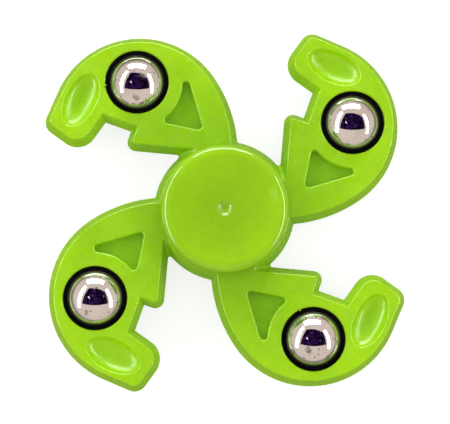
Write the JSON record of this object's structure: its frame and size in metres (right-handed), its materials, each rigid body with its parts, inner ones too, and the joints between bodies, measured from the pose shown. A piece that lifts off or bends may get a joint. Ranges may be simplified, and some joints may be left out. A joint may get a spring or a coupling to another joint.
{
  "type": "fidget spinner",
  "caption": "Pinwheel fidget spinner: hooked arms with inset steel balls, a ball bearing hub and dished finger caps.",
  "frame": {"origin": "on the spin axis at mid-thickness, the centre of the bearing", "axes": "+Z along the spin axis out of the top cap; +X through the centre of weight_ball_1; seen from +Z the arms hook anticlockwise"},
  "size_m": [0.075, 0.075, 0.0132],
  "materials": {
    "lime_plastic": "glossy moulded lime green plastic",
    "lime_plastic_cap": "satin gloss moulded lime green plastic",
    "polished_steel_ball": "mirror polished steel with fine scuffs",
    "black_rubber": "matt black",
    "bearing_steel": "ground steel",
    "shield_steel": "pressed zinc-coated steel",
    "cage_steel": "pressed steel",
    "race_ball_steel": "polished bearing steel"
  },
  "bodies": {
    "finger_caps": {"top_cap": "lime_plastic_cap", "bottom_cap": "lime_plastic_cap", "bearing_inner_ring": "bearing_steel"},
    "rotor": {"spinner_frame": "lime_plastic", "bearing_outer_ring": "bearing_steel", "bearing_shield_top": "shield_steel", "bearing_shield_bottom": "shield_steel", "weight_ball_1": "polished_steel_ball", "weight_ball_2": "polished_steel_ball", "weight_ball_3": "polished_steel_ball", "weight_ball_4": "polished_steel_ball", "ball_seat_ring_1": "black_rubber", "ball_seat_ring_2": "black_rubber", "ball_seat_ring_3": "black_rubber", "ball_seat_ring_4": "black_rubber"},
    "cage": {"cage_top": "cage_steel", "cage_bottom": "cage_steel", "cage_rivets": "cage_steel"},
    "race_ball_1": {"bearing_ball_1": "race_ball_steel"},
    "race_ball_2": {"bearing_ball_2": "race_ball_steel"},
    "race_ball_3": {"bearing_ball_3": "race_ball_steel"},
    "race_ball_4": {"bearing_ball_4": "race_ball_steel"},
    "race_ball_5": {"bearing_ball_5": "race_ball_steel"},
    "race_ball_6": {"bearing_ball_6": "race_ball_steel"},
    "race_ball_7": {"bearing_ball_7": "race_ball_steel"}
  },
  "joints": [
    {"name": "spin", "type": "hinge", "parent": "finger_caps", "child": "rotor", "pos_m": [0, 0, 0], "axis": [0, 0, 1], "continuous": true},
    {"name": "cage_turn", "type": "hinge", "parent": "finger_caps", "child": "cage", "pos_m": [0, 0, 0], "axis": [0, 0, 1], "continuous": true},
    {"name": "ball_1_roll", "type": "hinge", "parent": "cage", "child": "race_ball_1", "pos_m": [0.0075, 0, 0], "axis": [0, 0, 1], "continuous": true},
    {"name": "ball_2_roll", "type": "hinge", "parent": "cage", "child": "race_ball_2", "pos_m": [0.00468, 0.00586, 0], "axis": [0, 0, 1], "continuous": true},
    {"name": "ball_3_roll", "type": "hinge", "parent": "cage", "child": "race_ball_3", "pos_m": [-0.00167, 0.00731, 0], "axis": [0, 0, 1], "continuous": true},
    {"name": "ball_4_roll", "type": "hinge", "parent": "cage", "child": "race_ball_4", "pos_m": [-0.00676, 0.00325, 0], "axis": [0, 0, 1], "continuous": true},
    {"name": "ball_5_roll", "type": "hinge", "parent": "cage", "child": "race_ball_5", "pos_m": [-0.00676, -0.00325, 0], "axis": [0, 0, 1], "continuous": true},
    {"name": "ball_6_roll", "type": "hinge", "parent": "cage", "child": "race_ball_6", "pos_m": [-0.00167, -0.00731, 0], "axis": [0, 0, 1], "continuous": true},
    {"name": "ball_7_roll", "type": "hinge", "parent": "cage", "child": "race_ball_7", "pos_m": [0.00468, -0.00586, 0], "axis": [0, 0, 1], "continuous": true}
  ],
  "couplings": [
    {"joint": "cage_turn", "follows": "spin", "ratio": 0.6323},
    {"joint": "ball_1_roll", "follows": "spin", "ratio": 1.7573},
    {"joint": "ball_2_roll", "follows": "spin", "ratio": 1.7573},
    {"joint": "ball_3_roll", "follows": "spin", "ratio": 1.7573},
    {"joint": "ball_4_roll", "follows": "spin", "ratio": 1.7573},
    {"joint": "ball_5_roll", "follows": "spin", "ratio": 1.7573},
    {"joint": "ball_6_roll", "follows": "spin", "ratio": 1.7573},
    {"joint": "ball_7_roll", "follows": "spin", "ratio": 1.7573}
  ]
}
